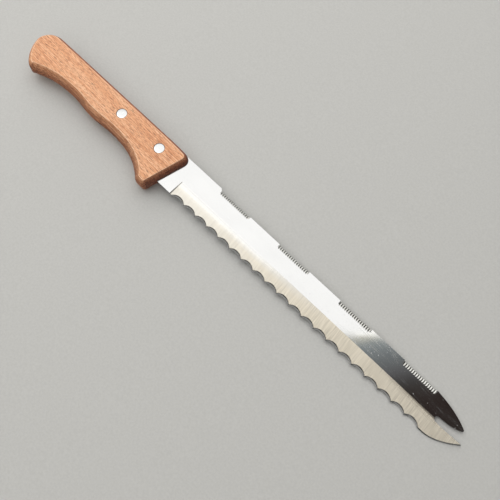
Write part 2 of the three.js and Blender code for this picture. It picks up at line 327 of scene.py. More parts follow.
def mesh_object(name, parts):
    points = []
    faces = []
    for part_points, part_faces in parts:
        base = len(points)
        points.extend(part_points)
        faces.extend(tuple(base + i for i in face) for face in part_faces)
    mesh = bpy.data.meshes.new(name)
    mesh.from_pydata(points, [], faces)
    work = bmesh.new()
    work.from_mesh(mesh)
    bmesh.ops.recalc_face_normals(work, faces=work.faces)
    work.to_mesh(mesh)
    work.free()
    obj = bpy.data.objects.new(name, mesh)
    bpy.context.scene.collection.objects.link(obj)
    return obj


# Take away closed shapes that do not overlap each other
def cut(obj, parts):
    tool = mesh_object("cutter", parts)
    step = obj.modifiers.new("cut", "BOOLEAN")
    step.operation = "DIFFERENCE"
    step.solver = "MANIFOLD"
    step.object = tool
    bpy.context.view_layer.update()
    result = bpy.data.meshes.new_from_object(obj.evaluated_get(bpy.context.evaluated_depsgraph_get()))
    obj.modifiers.clear()
    obj.data = result
    bpy.data.objects.remove(tool)


# Weld points that the cuts leave almost on top of each other
def weld(obj):
    work = bmesh.new()
    work.from_mesh(obj.data)
    bmesh.ops.remove_doubles(work, verts=work.verts, dist=WELD_DISTANCE)
    bmesh.ops.dissolve_degenerate(work, edges=work.edges, dist=WELD_DISTANCE)
    work.to_mesh(obj.data)
    work.free()


# Split faces with many corners into well-shaped triangles
def triangulate(obj):
    work = bmesh.new()
    work.from_mesh(obj.data)
    bmesh.ops.triangulate(work, faces=work.faces, quad_method="BEAUTY", ngon_method="BEAUTY")
    work.to_mesh(obj.data)
    work.free()


# Edges where two finishes meet stay crisp, so that a flat face is shaded flat up to its border
def sharpen_between_finishes(mesh):
    finishes = {}
    for face in mesh.polygons:
        for key in face.edge_keys:
            finishes.setdefault(key, set()).add(face.material_index)
    for edge in mesh.edges:
        if len(finishes[edge.key]) > 1:
            edge.use_edge_sharp = True


# Scale a finished piece to metres, set its shading and give it its place in the frame
def settle(obj, nodes, sharp_degrees):
    mesh = obj.data
    mesh.transform(Matrix.Scale(MM, 4))
    mesh.shade_smooth()
    mesh.set_sharp_from_angle(angle=math.radians(sharp_degrees))
    sharpen_between_finishes(mesh)
    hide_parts(*nodes)
    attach(obj, "root")


# Handle outline, anticlockwise from the front, with the side that belongs to each point
def handle_outline():
    outline = []
    sides = []

    def add(points, side):
        outline.extend(points)
        sides.extend([side] * len(points))

    def on_front(y):
        return front_at(y), y

    top = on_front(SPINE_HEIGHT)
    corner_start = on_front(SPINE_HEIGHT - FRONT_CORNER)
    corner_end = (top[0] - FRONT_CORNER, SPINE_HEIGHT)
    add([corner_start], FRONT_SIDE)
    add(quadratic(corner_start, top, corner_end, CORNER_STEPS), TOP_CORNER_SIDE)

    butt_top = (BUTT_X + BUTT_RADIUS, SPINE_HEIGHT)
    butt = (BUTT_X, SPINE_HEIGHT - BUTT_RADIUS)
    spacing = (corner_end[0] - BUTT_X - BUTT_RADIUS) / SPINE_STEPS
    add([(corner_end[0] - spacing * i, SPINE_HEIGHT) for i in range(1, SPINE_STEPS)], SPINE_SIDE)
    add([butt_top], BUTT_TOP_SIDE)
    add(arc((butt_top[0], butt[1]), BUTT_RADIUS, 90, 180, CURVE_STEPS), BUTT_SIDE)

    butt_lead = (BUTT_X, butt[1] - BUTT_LEAD)
    throat_lead = (THROAT[0] - THROAT_LEAD_X, THROAT[1] + THROAT_LEAD_Y)
    add(cubic(butt, butt_lead, beside(HOOK, -HOOK_BACK_LEAD), HOOK, CURVE_STEPS), HOOK_SIDE)
    add(cubic(HOOK, beside(HOOK, HOOK_FRONT_LEAD), beside(REAR_HOLLOW, -REAR_HOLLOW_LEAD),
              REAR_HOLLOW, LONG_CURVE_STEPS), BELLY_END_SIDE)
    add(cubic(REAR_HOLLOW, beside(REAR_HOLLOW, SWELL_LEAD), beside(SWELL, -SWELL_LEAD),
              SWELL, CURVE_STEPS), BELLY_SIDE)
    add(cubic(SWELL, beside(SWELL, SWELL_LEAD), beside(FINGER_HOLLOW, -SWELL_LEAD),
              FINGER_HOLLOW, CURVE_STEPS), BELLY_SIDE)
    add(cubic(FINGER_HOLLOW, beside(FINGER_HOLLOW, FINGER_LEAD), throat_lead,
              THROAT, LONG_CURVE_STEPS), BELLY_END_SIDE)

    guard_bend = (GUARD_BEND_X, -GUARD_DEPTH)
    flat_start = (GUARD_FLAT_START, -GUARD_DEPTH)
    flat_end = (GUARD_FLAT_END, -GUARD_DEPTH)
    guard_end = on_front(GUARD_CORNER - GUARD_DEPTH)
    add(quadratic(THROAT, guard_bend, flat_start, GUARD_STEPS), GUARD_SIDE)
    add([beside(flat_start, GUARD_FLAT_STEP * i) for i in (1, 2)], GUARD_FLAT_SIDE)
    add(quadratic(flat_end, on_front(-GUARD_DEPTH), guard_end, GUARD_STEPS), GUARD_CORNER_SIDE)
    rise = (corner_start[1] - guard_end[1]) / FRONT_STEPS
    add([on_front(guard_end[1] + rise * i) for i in range(1, FRONT_STEPS)], FRONT_SIDE)
    return outline, sides


# Slab whose sides curve in from the outline and meet the flat faces at a crisp edge
def make_handle():
    outline, sides = handle_outline()
    count = len(outline)
    sides = [Vector(side) for side in sides]
    for _ in range(SIDE_SMOOTHING):
        sides = [(sides[i - 1] + sides[i] + sides[(i + 1) % count]) / 3 for i in range(count)]
    inward = []
    for i in range(count):
        before = Vector(outline[i - 1])
        here = Vector(outline[i])
        after = Vector(outline[(i + 1) % count])
        along = (here - before).normalized() + (after - here).normalized()
        along.normalize()
        inward.append(Vector((-along.y, along.x)))

    # One row of points at a share of the depth of the side, 0 at the flat face and 1 at the outline
    def ring(share, extra, upper):
        points = []
        for (x, y), n, (width, depth, straight) in zip(outline, inward, sides):
            radius = (depth * depth + width * width) / (2 * width)
            rise = depth * (1 - share)
            curved = radius - math.sqrt(radius * radius - rise * rise)
            step_in = curved + straight * (width * (1 - share) ** STRAIGHT_POWER - curved) + extra
            z = depth * share
            points.append((x + n.x * step_in, y + n.y * step_in, HANDLE_THICKNESS - z if upper else z))
        return points

    shares = [0.0, EDGE_ROW] + [k / SIDE_ROWS for k in range(1, SIDE_ROWS + 1)]
    lower = [ring(share, 0, False) for share in shares]
    upper = [ring(share, 0, True) for share in reversed(shares)]
    flat_low = ring(0, WORN_WIDTH, False)
    flat_high = ring(0, WORN_WIDTH, True)
    handle = mesh_object("handle_wood", [sweep([flat_low] + lower + upper + [flat_high])])
    cut_kerf(handle)
    cut_rivet_seats(handle)
    mark_worn_edges(handle, lower[0] + upper[-1])
    return handle


# Slot for the tang, open at the front and the spine
def cut_kerf(handle):
    z0 = BACK_Z - KERF_GAP
    z1 = FACE_Z + KERF_GAP
    heel = front_at(EDGE_Y) - HEEL_INSERT - KERF_GAP
    cut(handle, [block(TANG_END - KERF_GAP, KERF_FRONT, -TANG_DEPTH - KERF_GAP, KERF_TOP, z0, z1)])
    cut(handle, [block(heel, KERF_FRONT, EDGE_Y - KERF_GAP, KERF_TOP, z0, z1)])


# Stepped holes for the rivets and their heads
def cut_rivet_seats(handle):
    seat = HEAD_RADIUS + SEAT_GAP
    hole = SOCKET_RADIUS + SOCKET_GAP
    low = HEAD_SINK + HEAD_THICKNESS + SEAT_DEPTH_GAP
    high = HANDLE_THICKNESS - low
    under = -CUT_MARGIN
    over = HANDLE_THICKNESS + CUT_MARGIN
    profile = [
        (0, under), (seat, under), (seat, low), (hole, low),
        (hole, high), (seat, high), (seat, over), (0, over),
    ]
    cut(handle, [turned(profile, x) for x in RIVETS.values()])


# Points on the crisp edges carry wear 1, all others 0
def mark_worn_edges(obj, edge_points):
    tree = KDTree(len(edge_points))
    for i, point in enumerate(edge_points):
        tree.insert(point, i)
    tree.balance()
    wear = obj.data.attributes.new("wear", "FLOAT", "POINT")
    for vertex in obj.data.vertices:
        distance = tree.find(vertex.co)[2]
        wear.data[vertex.index].value = 1.0 if distance < WORN_REACH else 0.0


# Blade outline with its half tang, anticlockwise
def blade_outline():
    heel = front_at(EDGE_Y) - HEEL_INSERT
    shoulder = front_at(BLADE_TOP) - SHOULDER_INSERT
    upper_start = (NOTCH_CENTRE[0], NOTCH_CENTRE[1] + NOTCH_RADIUS)
    outline = [(TANG_END, -TANG_DEPTH), (heel, -TANG_DEPTH), (heel, EDGE_Y), LOWER_START]
    outline += quadratic(LOWER_START, LOWER_BEND, LOWER_END, LOWER_STEPS)
    outline += [LOWER_POINT, LOWER_BACK_START, LOWER_BACK_END]
    outline += quadratic(LOWER_BACK_END, NOTCH_MOUTH_BEND, NOTCH_MOUTH_END, MOUTH_STEPS)
    outline += arc(NOTCH_CENTRE, NOTCH_RADIUS, NOTCH_FROM_DEGREES, NOTCH_TO_DEGREES, NOTCH_STEPS)
    outline += quadratic(upper_start, UPPER_BEND, UPPER_END, UPPER_STEPS)
    outline += quadratic(UPPER_END, UPPER_POINT_BEND, UPPER_POINT_END, POINT_STEPS)
    outline += quadratic(UPPER_POINT_END, UPPER_BACK_BEND, UPPER_BACK_END, UPPER_BACK_STEPS)
    outline += [SAW_END_CORNER, (SAW_END, TOOTH_LINE), SAW_ENTRY]
    outline += quadratic(SAW_ENTRY, SAW_ENTRY_BEND, SAW_ENTRY_TOP, ENTRY_STEPS)
    outline += [(shoulder, BLADE_TOP), (shoulder, TANG_TOP), (TANG_END, TANG_TOP)]
    return outline


# How far the ground face lies below the flat face, at a depth below the grind line
def grind_drop(depth):
    return (BLADE_THICKNESS - EDGE_THICKNESS) * (depth / (GRIND_LINE - EDGE_Y)) ** GRIND_POWER


# Curved wedge between the plunge line and the tip that thins the near face towards the edge
def grind_wedge():
    reach = GRIND_LINE - EDGE_Y + CUT_MARGIN
    top = FACE_Z + CUT_RISE
    sections = []
    for x, lag in ((PLUNGE_X, PLUNGE_LAG), (POINT_X + CUT_PAST_POINT, 0.0)):
        section = [(x - lag, GRIND_LINE, top), (x - lag, GRIND_LINE - reach, top)]
        for k in range(GRIND_STEPS, -1, -1):
            depth = reach * k / GRIND_STEPS
            drop = grind_drop(depth)
            section.append((x + lag * drop, GRIND_LINE - depth, FACE_Z - drop))
        sections.append(section)
    return sweep(sections)


# Round stone that leaves a hollow facet along one scallop, gentle at the edge and steeper above
def scallop_stone(x):
    half = SCALLOP_PITCH / 2
    hollow = SCALLOP_DEPTH - SCALLOP_OVERLAP
    radius = (half * half + hollow * hollow) / (2 * hollow)
    edge_z = BACK_Z + SCALLOP_EDGE
    kink = edge_z + FACET_WIDTH * FACET_SLOPE
    levels = (
        (-FACET_START / FACET_SLOPE, edge_z - FACET_START),
        (FACET_WIDTH, kink),
        (FACET_WIDTH + STONE_RISE, kink + STONE_RISE),
    )
    angles = [2 * math.pi * (k + 0.5) / STONE_SIDES for k in range(STONE_SIDES)]
    sections = []
    for shift, z in levels:
        middle = EDGE_Y + SCALLOP_DEPTH - radius + shift
        sections.append([(x + radius * math.cos(a), middle + radius * math.sin(a), z) for a in angles])
    return sweep(sections)


# Narrow facet of even width along the curved edge of the lower prong, from the edge up to the ground face
def prong_facet():
    curve = [PRONG_FACET_START, LOWER_START]
    curve += quadratic(LOWER_START, LOWER_BEND, PRONG_FACET_END, PRONG_STEPS)
    edge_z = BACK_Z + PRONG_EDGE
    sections = []
    for i, point in enumerate(curve):
        before = Vector(curve[max(i - 1, 0)])
        after = Vector(curve[min(i + 1, len(curve) - 1)])
        along = (after - before).normalized()
        inward = Vector((-along.y, along.x))
        depth = GRIND_LINE - point[1] - inward.y * PRONG_FACET
        rise = (FACE_Z - grind_drop(max(depth, 0)) - edge_z) / PRONG_FACET
        outer = Vector(point) - inward
        inner = Vector(point) + inward * PRONG_REACH
        sections.append([
            (outer.x, outer.y, edge_z - rise),
            (inner.x, inner.y, edge_z + rise * PRONG_REACH),
            (outer.x, outer.y, edge_z + rise * PRONG_REACH),
        ])
    return sweep(sections)


# Height of the near or the far face of the blade
def surface_z(side):
    return HANDLE_THICKNESS / 2 + side * BLADE_THICKNESS / 2


# Bevel of one saw section
def saw_bevel(x0, side, width):
    surface = surface_z(side)
    over = surface + side * CUT_RISE
    top = TOOTH_LINE + CUT_MARGIN
    corners = [
        (TOOTH_LINE - width, surface),
        (TOOTH_LINE - width, over),
        (top, over),
        (top, surface - side * SAW_SLOPE * (width + CUT_MARGIN)),
    ]
    return sweep([[(x, y, z) for y, z in corners] for x in (x0, x0 + SAW_SECTION)])


# Grooves between the teeth, every second one, steeper where they break through at the tips
def saw_grooves(x0, side, width, odd):
    surface = surface_z(side)
    flank = TOOTH_DEPTH / (TOOTH_PITCH / 2)
    profile = [
        (-GROOVE_REACH, GROOVE_TOP),
        (-GROOVE_REACH, GROOVE_REACH * flank),
        (-GROOVE_BOTTOM, GROOVE_BOTTOM * flank),
        (0.0, GROOVE_BOTTOM * flank / 2),
        (GROOVE_BOTTOM, GROOVE_BOTTOM * flank),
        (GROOVE_REACH, GROOVE_REACH * flank),
        (GROOVE_REACH, GROOVE_TOP),
    ]
    bend = TOOTH_LINE - TOOTH_TIP
    bend_depth = (width - TOOTH_TIP) * SAW_SLOPE + TOOTH_DEPTH
    path = [
        (bend - GROOVE_BACK, bend_depth - GROOVE_BACK * SAW_SLOPE),
        (bend, bend_depth),
        (bend + GROOVE_FRONT, bend_depth + GROOVE_FRONT * TIP_SLOPE),
    ]
    count = int(SAW_SECTION / TOOTH_PITCH)
    first = x0 + (SAW_SECTION - (count - 1) * TOOTH_PITCH) / 2
    grooves = []
    for i in range(odd, count, 2):
        x = first + i * TOOTH_PITCH
        grooves.append(sweep([
            [(x + dx, y, surface - side * (depth - height)) for dx, height in profile]
            for y, depth in path
        ]))
    return grooves


# Stones and grooves overlap their neighbours, so they are cut in groups that leave the neighbours out
def make_blade():
    blade = mesh_object("blade_steel", [prism(blade_outline(), BACK_Z, FACE_Z)])
    hole = SOCKET_RADIUS + SOCKET_GAP
    hole_profile = [(0, 0), (hole, 0), (hole, HANDLE_THICKNESS), (0, HANDLE_THICKNESS)]
    cut(blade, [turned(hole_profile, x) for x in RIVETS.values()])
    cut(blade, [grind_wedge()])
    middles = [SCALLOP_START + (i + 0.5) * SCALLOP_PITCH for i in range(SCALLOP_COUNT)]
    for group in range(SCALLOP_GROUPS):
        cut(blade, [scallop_stone(x) for x in middles[group::SCALLOP_GROUPS]])
    cut(blade, [prong_facet()])
    saw = []
    for i in range(SAW_SECTIONS):
        side = NEAR_SIDE if i % 2 == 0 else FAR_SIDE
        saw.append((SAW_START + i * SAW_SECTION, side, SAW_BEVEL_FIRST + i * SAW_BEVEL_STEP))
    for side in (NEAR_SIDE, FAR_SIDE):
        cut(blade, [saw_bevel(*section) for section in saw if section[1] == side])
    for odd in (0, 1):
        cut(blade, [groove for section in saw for groove in saw_grooves(*section, odd)])
    weld(blade)
    return blade


# Rivet head with a small rounded rim and a faintly domed face, which looks up for 1 and down for -1
def head_profile(z_face, toward):
    inner = HEAD_RADIUS - HEAD_RIM
    profile = [
        (0, z_face),
        (CROWN_RADIUS, z_face - toward * CROWN_DROP),
        (inner, z_face - toward * HEAD_DOME),
    ]
    for k in range(1, RIM_STEPS + 1):
        angle = math.pi / 2 * k / RIM_STEPS
        drop = HEAD_DOME + HEAD_RIM * (1 - math.cos(angle))
        profile.append((inner + HEAD_RIM * math.sin(angle), z_face - toward * drop))
    profile.append((HEAD_RADIUS, z_face - toward * HEAD_THICKNESS))
    return profile


def make_rivet(place, x):
    low = HEAD_SINK
    high = HANDLE_THICKNESS - HEAD_SINK
    head_top = low + HEAD_THICKNESS
    head_bottom = high - HEAD_THICKNESS
    bore = PIN_RADIUS + BORE_GAP
    socket_profile = head_profile(low, -1) + [
        (SOCKET_RADIUS, head_top),
        (SOCKET_RADIUS, head_bottom - PRESS_GAP),
        (bore, head_bottom - PRESS_GAP),
        (bore, head_top),
        (0, head_top),
    ]
    pin_end = head_top + PIN_END_GAP
    pin_profile = [(0, pin_end), (PIN_RADIUS, pin_end), (PIN_RADIUS, head_bottom)]
    pin_profile += reversed(head_profile(high, 1))
    socket = mesh_object(f"rivet_{place}_socket_part", [turned(socket_profile, x)])
    pin = mesh_object(f"rivet_{place}_pin_part", [turned(pin_profile, x)])
    return socket, pin


# Node materials
def add_node(tree, kind, values=None, **settings):
    node = tree.nodes.new(kind)
    for key, value in settings.items():
        setattr(node, key, value)
    for key, value in (values or {}).items():
        node.inputs[key].default_value = value
    return node


# Linear colour from display levels of 0 to 255
def srgb(red, green, blue):
    def linear(level):
        share = level / 255
        return share / 12.92 if share <= 0.04045 else ((share + 0.055) / 1.055) ** 2.4
    return (linear(red), linear(green), linear(blue), 1.0)


def ramp(tree, source, stops):
    node = add_node(tree, "ShaderNodeValToRGB")
    elements = node.color_ramp.elements
    while len(elements) < len(stops):
        elements.new(0.5)
    for element, (position, color) in zip(elements, stops):
        element.position = position
        element.color = color
    tree.links.new(source, node.inputs["Fac"])
    return node.outputs["Color"]


# Noise stretched to feature sizes in millimetres along X, Y and Z, after a turn about Z in degrees
def stretched_noise(tree, sizes, detail, roughness, turn=0.0, distortion=0.0):
    coords = add_node(tree, "ShaderNodeTexCoord")
    turned_coords = add_node(tree, "ShaderNodeMapping", {"Rotation": (0, 0, math.radians(turn))})
    tree.links.new(coords.outputs["Object"], turned_coords.inputs["Vector"])
    spread = add_node(tree, "ShaderNodeMapping", {"Scale": tuple(1 / (size * MM) for size in sizes)})
    tree.links.new(turned_coords.outputs["Vector"], spread.inputs["Vector"])
    noise = add_node(tree, "ShaderNodeTexNoise", {
        "Scale": 1.0, "Detail": detail, "Roughness": roughness, "Distortion": distortion,
    })
    tree.links.new(spread.outputs["Vector"], noise.inputs["Vector"])
    return noise.outputs["Fac"]


# The X, Y and Z of a texture coordinate such as Object or Normal
def coordinate(tree, kind):
    split = add_node(tree, "ShaderNodeSeparateXYZ")
    tree.links.new(add_node(tree, "ShaderNodeTexCoord").outputs[kind], split.inputs["Vector"])
    return split.outputs["X"], split.outputs["Y"], split.outputs["Z"]


def math_node(tree, operation, a, b=0.0):
    node = add_node(tree, "ShaderNodeMath", operation=operation)
    for socket, value in zip(node.inputs, (a, b)):
        if isinstance(value, (int, float)):
            socket.default_value = value
        else:
            tree.links.new(value, socket)
    return node.outputs[0]


def weighted_sum(tree, terms):
    total = None
    for source, weight in terms:
        part = math_node(tree, "MULTIPLY", source, weight)
        total = part if total is None else math_node(tree, "ADD", total, part)
    return total


# Move a value from one range to another, and hold it at the ends
def remap(tree, source, span, result):
    node = add_node(tree, "ShaderNodeMapRange", {
        "From Min": span[0], "From Max": span[1], "To Min": result[0], "To Max": result[1],
    })
    tree.links.new(source, node.inputs["Value"])
    return node.outputs["Result"]


# The same for a place, whose range is in millimetres
def remap_place(tree, source, span, result):
    return remap(tree, source, (span[0] * MM, span[1] * MM), result)


# Places of the colour sockets on a mix node
MIX_FACTOR = 0
MIX_FIRST = 6
MIX_SECOND = 7
MIX_RESULT = 2


def mix_color(tree, factor, first, second, blend="MIX"):
    node = add_node(tree, "ShaderNodeMix", data_type="RGBA", blend_type=blend)
    for key, value in ((MIX_FACTOR, factor), (MIX_FIRST, first), (MIX_SECOND, second)):
        if isinstance(value, (int, float, tuple)):
            node.inputs[key].default_value = value
        else:
            tree.links.new(value, node.inputs[key])
    return node.outputs[MIX_RESULT]


# Bump whose distance is in millimetres
def bump(tree, height, strength, distance):
    node = add_node(tree, "ShaderNodeBump", {"Strength": strength, "Distance": distance * MM})
    tree.links.new(height, node.inputs["Height"])
    return node.outputs["Normal"]


def new_material(name, metallic=0.0):
    material = bpy.data.materials.new(name)
    material.use_nodes = True
    tree = material.node_tree
    shader = tree.nodes["Principled BSDF"]
    shader.inputs["Metallic"].default_value = metallic
    return material, tree, shader


def finish_material(tree, shader, color, roughness, normal):
    tree.links.new(color, shader.inputs["Base Color"])
    tree.links.new(roughness, shader.inputs["Roughness"])
    tree.links.new(normal, shader.inputs["Normal"])


# Wood colours, the painted shade on the sides, on the side that faces the spine and on the ends (the ends
# partly darker end grain), and the slight slope of the grain
WOOD_DARK = srgb(210, 144, 98)
WOOD_MEDIUM = srgb(228, 166, 122)
WOOD_LIGHT = srgb(235, 179, 137)
WOOD_PALE = srgb(242, 194, 155)
WOOD_DASH = srgb(184, 118, 80)
WOOD_PORE = srgb(112, 66, 44)
WOOD_WORN = srgb(250, 214, 180)
# Painted shade on the sides and the spine side, and end grain with painted shade on the ends
SIDE_PAINTED_SHADE_DARK = srgb(116, 84, 69)
SIDE_PAINTED_SHADE_LIGHT = srgb(198, 170, 152)
SPINE_PAINTED_SHADE = srgb(178, 128, 112)
END_GRAIN_AND_PAINTED_SHADE = srgb(222, 208, 210)
WOOD_TURN = 1.5


# Open-pored wood: streaks and fine dashes along the length, painted shade on the sides, the spine side and
# the ends, where the ends are also darker end grain, paler worn edges
def wood_material():
    material, tree, shader = new_material("handle_wood")
    broad = stretched_noise(tree, (80, 7, 7), detail=2.0, roughness=0.5, turn=WOOD_TURN)
    streaks = stretched_noise(
        tree, (40, 0.75, 0.75), detail=2.0, roughness=0.6, turn=WOOD_TURN, distortion=0.1,
    )
    fine = stretched_noise(tree, (30, 0.5, 0.5), detail=2.0, roughness=0.6, turn=WOOD_TURN)
    dashes = stretched_noise(tree, (3.2, 0.36, 0.36), detail=1.0, roughness=0.6, turn=WOOD_TURN)
    pores = stretched_noise(tree, (5.5, 0.42, 0.42), detail=1.0, roughness=0.5, turn=WOOD_TURN)
    tone = weighted_sum(tree, [(broad, 0.2), (streaks, 0.45), (fine, 0.35)])
    wood_tones = [(0.41, WOOD_DARK), (0.48, WOOD_MEDIUM), (0.53, WOOD_LIGHT), (0.60, WOOD_PALE)]
    color = ramp(tree, tone, wood_tones)
    light_dash = remap(tree, dashes, (0.46, 0.66), (0.0, 0.9))
    dark_dash = remap(tree, pores, (0.62, 0.73), (0.0, 0.9))
    color = mix_color(tree, light_dash, color, WOOD_DASH)
    color = mix_color(tree, dark_dash, color, WOOD_PORE)

    toward_x, toward_y, toward_z = coordinate(tree, "Normal")
    # Painted shade: faces that turn away from up are darkened, with streaks in the shade
    painted_side_shade_share = remap(tree, math_node(tree, "ABSOLUTE", toward_z), (0.35, 0.85), (1.0, 0.0))
    # Painted shade: faces that turn towards the spine are darkened further
    painted_spine_shade_share = remap(tree, toward_y, (0.15, 0.6), (0.0, 0.8))
    # Ends that face along the handle are darker, partly as end grain and partly as painted shade
    end_grain_and_shade_share = remap(tree, math_node(tree, "ABSOLUTE", toward_x), (0.6, 0.95), (0.0, 1.0))
    side_painted_shade = ramp(tree, streaks, [(0.38, SIDE_PAINTED_SHADE_DARK), (0.6, SIDE_PAINTED_SHADE_LIGHT)])
    color = mix_color(tree, painted_side_shade_share, color, side_painted_shade, "MULTIPLY")
    color = mix_color(tree, painted_spine_shade_share, color, SPINE_PAINTED_SHADE, "MULTIPLY")
    color = mix_color(tree, end_grain_and_shade_share, color, END_GRAIN_AND_PAINTED_SHADE, "MULTIPLY")

    wear = add_node(tree, "ShaderNodeAttribute", attribute_name="wear").outputs["Fac"]
    worn = math_node(tree, "MULTIPLY", wear, remap(tree, streaks, (0.3, 0.6), (0.35, 0.75)))
    color = mix_color(tree, worn, color, WOOD_WORN)
    pits = math_node(tree, "ADD", light_dash, dark_dash)
    height = math_node(tree, "SUBTRACT", math_node(tree, "MULTIPLY", fine, 0.5), pits)
    roughness = remap(tree, fine, (0.3, 0.7), (0.48, 0.62))
    finish_material(tree, shader, color, roughness, bump(tree, height, strength=0.3, distance=0.08))
    return material


POLISHED_DARK = (0.483, 0.488, 0.491, 1)
POLISHED_LIGHT = (0.508, 0.513, 0.516, 1)


# Polished steel with smudges, fine scratches along the blade and a few nicks
def polished_material():
    material, tree, shader = new_material("steel_polished", metallic=1.0)
    smudge = stretched_noise(tree, (30, 14, 14), detail=3.0, roughness=0.6)
    scratches = stretched_noise(tree, (12, 0.4, 0.4), detail=2.0, roughness=0.5, turn=4)
    nicks = stretched_noise(tree, (2.2, 0.9, 0.9), detail=1.0, roughness=0.5, turn=30)
    color = ramp(tree, smudge, [(0.3, POLISHED_DARK), (0.7, POLISHED_LIGHT)])
    roughness = remap(tree, smudge, (0.35, 0.7), (0.05, 0.09))
    roughness = math_node(tree, "ADD", roughness, remap(tree, scratches, (0.55, 0.72), (0.0, 0.08)))
    roughness = math_node(tree, "ADD", roughness, remap(tree, nicks, (0.72, 0.78), (0.0, 0.35)))
    finish_material(tree, shader, color, roughness, bump(tree, smudge, strength=0.03, distance=0.05))
    return material


# Ground steel: its colours, the slope of the grinding lines, and the stretches where it changes
GROUND_DARK = (0.445, 0.41, 0.345, 1)
GROUND_MEDIUM = (0.57, 0.526, 0.443, 1)
GROUND_LIGHT = (0.695, 0.645, 0.55, 1)
GROUND_HEEL = (0.56, 0.55, 0.515, 1)
GROUND_BLEND = (0.405, 0.407, 0.402, 1)
GROUND_RIM = (0.48, 0.482, 0.48, 1)
# Painted shade along the plunge
GROUND_PAINTED_PLUNGE_SHADE = (0.12, 0.115, 0.10, 1)
GRINDING_TURN = -5
HEEL_STRETCH = (60, 150)
HANDLE_STRETCH = (110, 165)
TIP_STRETCH = (180, 240)
BLEND_BAND = (GRIND_LINE - 5, GRIND_LINE - 1.2)
RIM_BAND = (GRIND_LINE - 0.9, GRIND_LINE)
PLUNGE_SHADE_BAND = (0.35, 0.75)
PLUNGE_SHADE_FADE = (EDGE_Y, EDGE_Y + 5)


# Fine lines across the width, which blend into the polish near the handle and start at a painted shade
# line along the plunge
def ground_material():
    material, tree, shader = new_material("steel_ground", metallic=1.0)
    lines = stretched_noise(tree, (0.26, 11, 11), detail=2.0, roughness=0.6, turn=GRINDING_TURN)
    bands = stretched_noise(tree, (1.3, 16, 16), detail=3.0, roughness=0.6, turn=GRINDING_TURN)
    grain = weighted_sum(tree, [(lines, 0.85), (bands, 0.15)])
    color = ramp(tree, grain, [(0.33, GROUND_DARK), (0.5, GROUND_MEDIUM), (0.67, GROUND_LIGHT)])
    x, y, _ = coordinate(tree, "Object")
    color = mix_color(tree, remap_place(tree, x, HEEL_STRETCH, (0.7, 0.0)), color, GROUND_HEEL)

    near_handle = remap_place(tree, x, HANDLE_STRETCH, (1.0, 0.0))
    near_line = remap_place(tree, y, BLEND_BAND, (0.0, 1.0))
    blend = math_node(tree, "MULTIPLY", near_handle, near_line)
    color = mix_color(tree, blend, color, GROUND_BLEND)
    rim = math_node(tree, "MULTIPLY", near_handle, remap_place(tree, y, RIM_BAND, (0.0, 1.0)))
    color = mix_color(tree, rim, color, GROUND_RIM)

    # Painted shade: a dark line on the ground face just past the plunge step, fainter near the edge
    past_plunge = math_node(tree, "SUBTRACT", x, PLUNGE_X * MM)
    plunge_shade_across = remap_place(tree, past_plunge, PLUNGE_SHADE_BAND, (0.8, 0.0))
    plunge_shade_along = remap_place(tree, y, PLUNGE_SHADE_FADE, (0.4, 1.0))
    color = mix_color(tree, math_node(tree, "MULTIPLY", plunge_shade_across, plunge_shade_along), color, GROUND_PAINTED_PLUNGE_SHADE)

    roughness = remap(tree, grain, (0.3, 0.7), (0.50, 0.44))
    roughness = math_node(tree, "SUBTRACT", roughness, math_node(tree, "MULTIPLY", blend, 0.3))
    near_tip = remap_place(tree, x, TIP_STRETCH, (0.0, 0.32))
    roughness = math_node(tree, "SUBTRACT", roughness, math_node(tree, "MULTIPLY", near_line, near_tip))
    finish_material(tree, shader, color, roughness, bump(tree, lines, strength=0.2, distance=0.012))
    return material


# Grey levels of the bright facets of the saw and of the darker scallop facets, whose darkness is painted
# shade, and their share of blue
SAW_LEVELS = (0.44, 0.56)
SCALLOP_PAINTED_SHADE_LEVELS = (0.19, 0.30)
FACET_BLUE = 0.98


# Facet with fine lines across it
def facet_material(name, dark, light):
    material, tree, shader = new_material(name, metallic=1.0)
    lines = stretched_noise(tree, (0.18, 3, 3), detail=2.0, roughness=0.6)
    dark_color = (dark, dark, dark * FACET_BLUE, 1)
    light_color = (light, light, light * FACET_BLUE, 1)
    color = ramp(tree, lines, [(0.3, dark_color), (0.7, light_color)])
    roughness = remap(tree, lines, (0.3, 0.7), (0.24, 0.16))
    finish_material(tree, shader, color, roughness, bump(tree, lines, strength=0.2, distance=0.02))
    return material


RIVET_DARK = (0.48, 0.49, 0.495, 1)
RIVET_LIGHT = (0.51, 0.52, 0.525, 1)


# Brushed aluminium
def rivet_material():
    material, tree, shader = new_material("rivet_aluminium", metallic=1.0)
    brushing = stretched_noise(tree, (0.5, 4, 4), detail=3.0, roughness=0.6, turn=35)
    color = ramp(tree, brushing, [(0.3, RIVET_DARK), (0.7, RIVET_LIGHT)])
    roughness = remap(tree, brushing, (0.3, 0.7), (0.24, 0.16))
    finish_material(tree, shader, color, roughness, bump(tree, brushing, strength=0.05, distance=0.02))
    return material


# Finishes of the blade in the order of its materials, and the limits that tell which one a face has
POLISHED, GROUND, SAW, SCALLOPS = range(4)
FLAT_LEAST_UP = 0.9999
GROUND_LEAST_UP = 0.96
GROUND_MOST_TURN = 0.01
GROUND_LEAST_DROP = 0.0001


